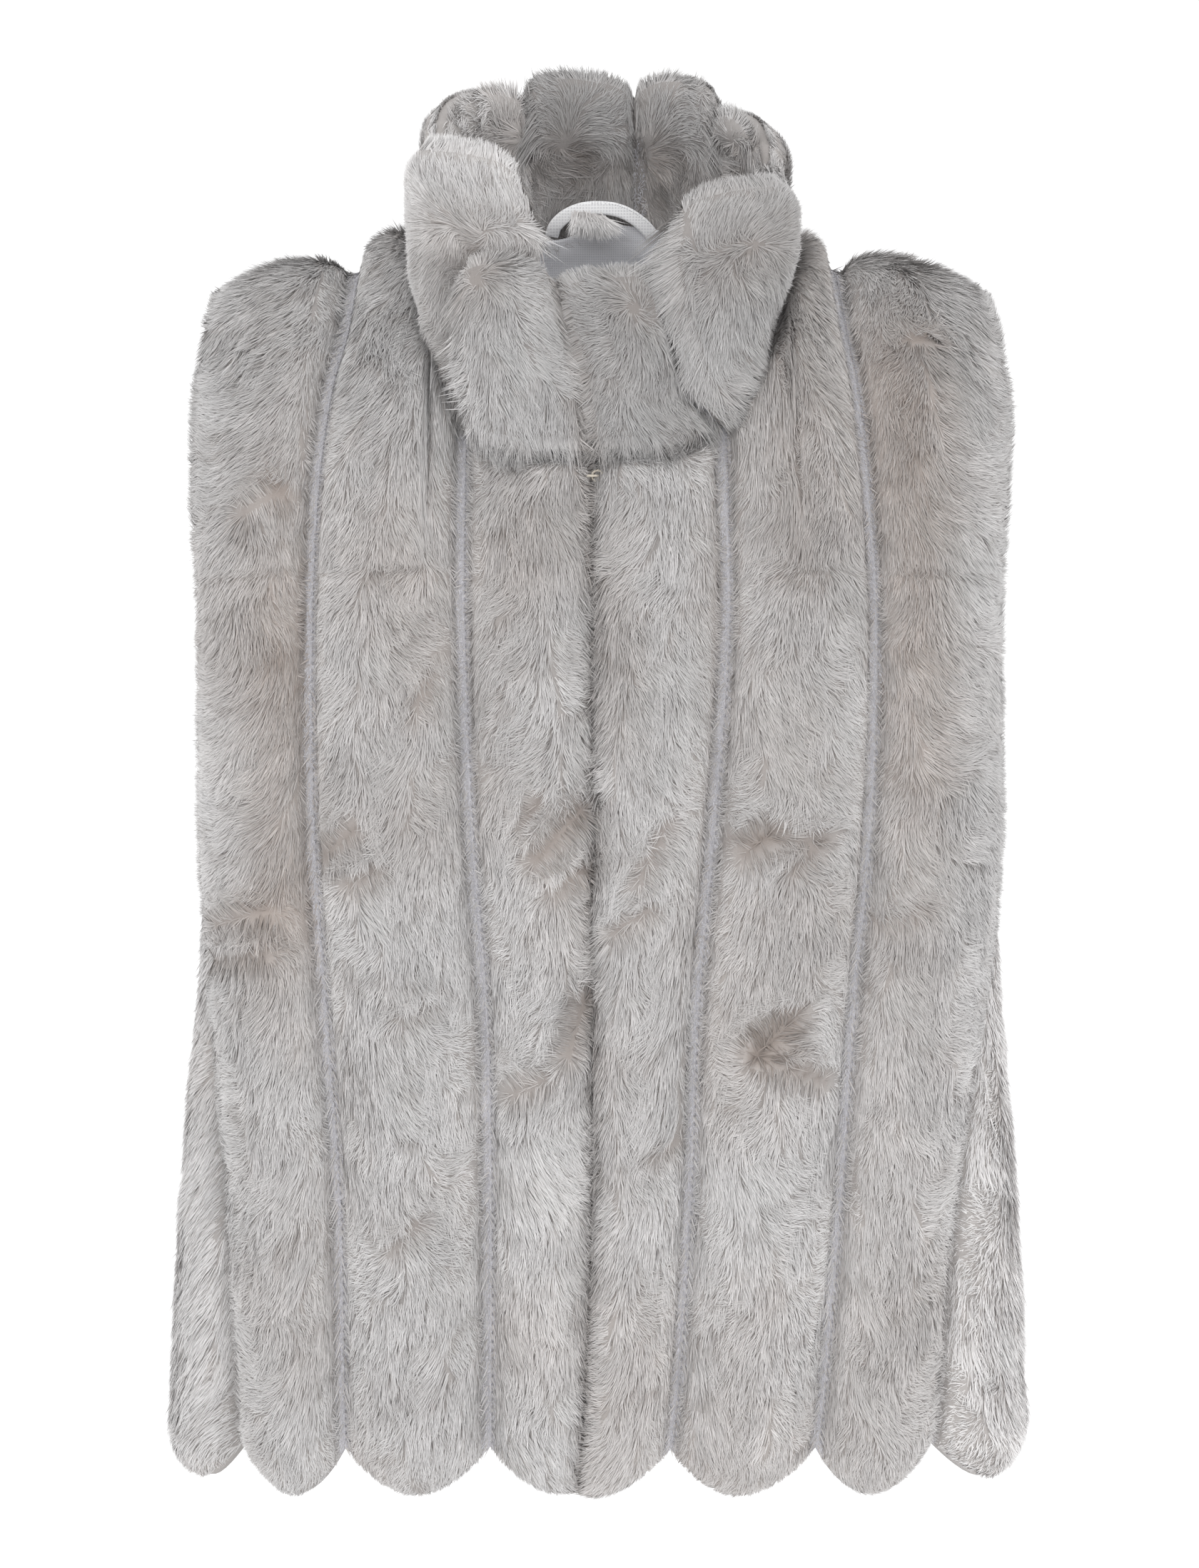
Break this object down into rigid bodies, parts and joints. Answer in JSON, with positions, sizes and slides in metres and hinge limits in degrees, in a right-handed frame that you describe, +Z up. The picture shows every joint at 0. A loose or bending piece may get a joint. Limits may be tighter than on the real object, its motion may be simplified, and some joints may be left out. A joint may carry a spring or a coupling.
{
  "type": "faux fur vest",
  "caption": "Hollow sleeveless hip-length vest of upright rounded fur pelts with sheared seams between them, a scalloped hem and a tall open stand collar",
  "frame": {"origin": "midway between the wearer's shoulders, below the back of the neck, where the vest is held when worn", "axes": "+Z up along the body's length, -Y to the front with the closing, +X to the picture's right, which is the wearer's left"},
  "size_m": [0.4573, 0.2645, 0.7658],
  "materials": {
    "fur": "deep soft pile",
    "collar_fur": "deep soft pile",
    "woven_lining": "fine matt weave",
    "loop_twill": "twill with a satin sheen",
    "steel": "plain wire"
  },
  "bodies": {
    "root": {"front_pelt_left_outer": "fur", "front_pelt_left_middle": "fur", "front_pelt_left_centre": "fur", "front_pelt_right_centre": "fur", "front_pelt_right_middle": "fur", "front_pelt_right_outer": "fur", "side_pelt_left_front": "fur", "side_pelt_left_back": "fur", "side_pelt_right_front": "fur", "side_pelt_right_back": "fur", "back_pelt_left_outer": "fur", "back_pelt_left_middle": "fur", "back_pelt_left_centre": "fur", "back_pelt_right_centre": "fur", "back_pelt_right_middle": "fur", "back_pelt_right_outer": "fur", "collar_pelt_left_end": "collar_fur", "collar_pelt_left_front": "collar_fur", "collar_pelt_left_side": "collar_fur", "collar_pelt_left_back": "collar_fur", "collar_pelt_right_back": "collar_fur", "collar_pelt_right_side": "collar_fur", "collar_pelt_right_front": "collar_fur", "collar_pelt_right_end": "collar_fur", "neck_lining": "woven_lining", "hanger_loop": "loop_twill", "fur_hook": "steel", "fur_eye": "steel"}
  },
  "joints": []
}
